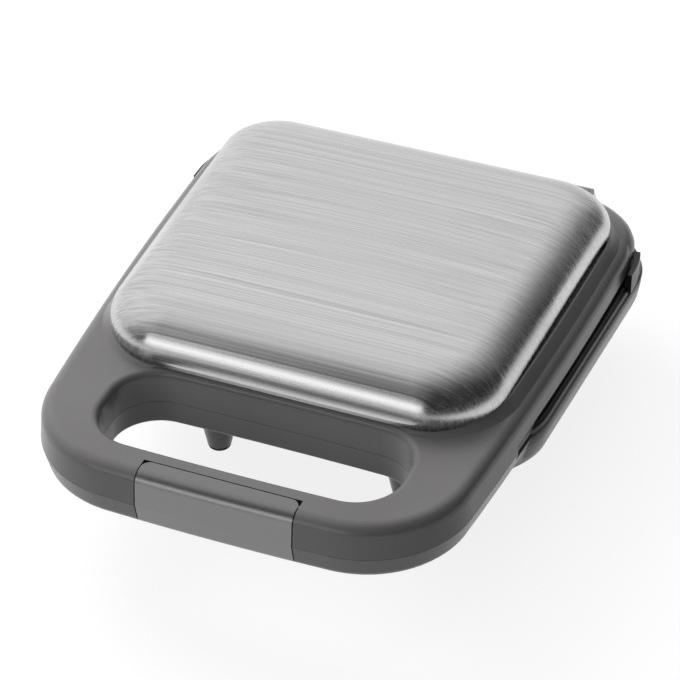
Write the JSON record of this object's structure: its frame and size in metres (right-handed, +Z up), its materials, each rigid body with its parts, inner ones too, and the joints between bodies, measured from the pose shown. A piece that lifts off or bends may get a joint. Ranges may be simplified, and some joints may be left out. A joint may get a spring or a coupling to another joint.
{
  "type": "sandwich maker",
  "caption": "Compact countertop sandwich maker: brushed steel lid over dark plastic shells, loop handle with flip latch, pocketed plates and a rear hinge.",
  "frame": {"origin": "on the ground, under the middle of the closed object's bounding box", "axes": "+Z up, -Y towards the handle and latch, +Y towards the hinge, +X to the right when the handle faces the viewer"},
  "size_m": [0.1668, 0.2186, 0.0694],
  "materials": {
    "shell_plastic": "fine satin, dark warm grey",
    "cover_steel": "brushed across the lid",
    "latch_satin": "satin silver-grey",
    "frame_plastic": "black, heat-proof",
    "nonstick_plate": "cast, black non-stick coat",
    "heater_steel": "drawn tube",
    "ceramic": "unglazed white ceramic",
    "reflector_sheet": "thin pressed sheet",
    "control_plastic": "plain heat-proof moulding",
    "fastener_steel": "plated",
    "foot_rubber": "black, dull"
  },
  "bodies": {
    "base": {"base_shell": "shell_plastic", "lower_frame": "frame_plastic", "lower_plate": "nonstick_plate", "lower_heater": "heater_steel", "lower_heater_beads": "ceramic", "lower_reflector": "reflector_sheet", "lower_frame_screws": "fastener_steel", "foot_pads": "foot_rubber", "hinge_pins": "fastener_steel", "terminal_block": "control_plastic", "cord_bush": "foot_rubber"},
    "lid": {"lid_shell": "shell_plastic", "lid_cover": "cover_steel", "upper_frame": "frame_plastic", "upper_plate": "nonstick_plate", "upper_heater": "heater_steel", "upper_heater_beads": "ceramic", "upper_reflector": "reflector_sheet", "thermostat": "control_plastic", "thermal_fuse": "control_plastic", "upper_frame_screws": "fastener_steel", "latch_pin": "fastener_steel", "latch_spring": "fastener_steel"},
    "latch": {"latch_face": "latch_satin"}
  },
  "joints": [
    {"name": "lid_hinge", "type": "hinge", "parent": "base", "child": "lid", "pos_m": [0, 0.1043, 0.0395], "axis": [-1, 0, 0], "range_deg": [0, 100]},
    {"name": "latch_pivot", "type": "hinge", "parent": "lid", "child": "latch", "pos_m": [0, -0.1013, 0.0475], "axis": [-1, 0, 0], "range_deg": [0, 18], "stiffness_Nm_per_rad": 0.05}
  ]
}
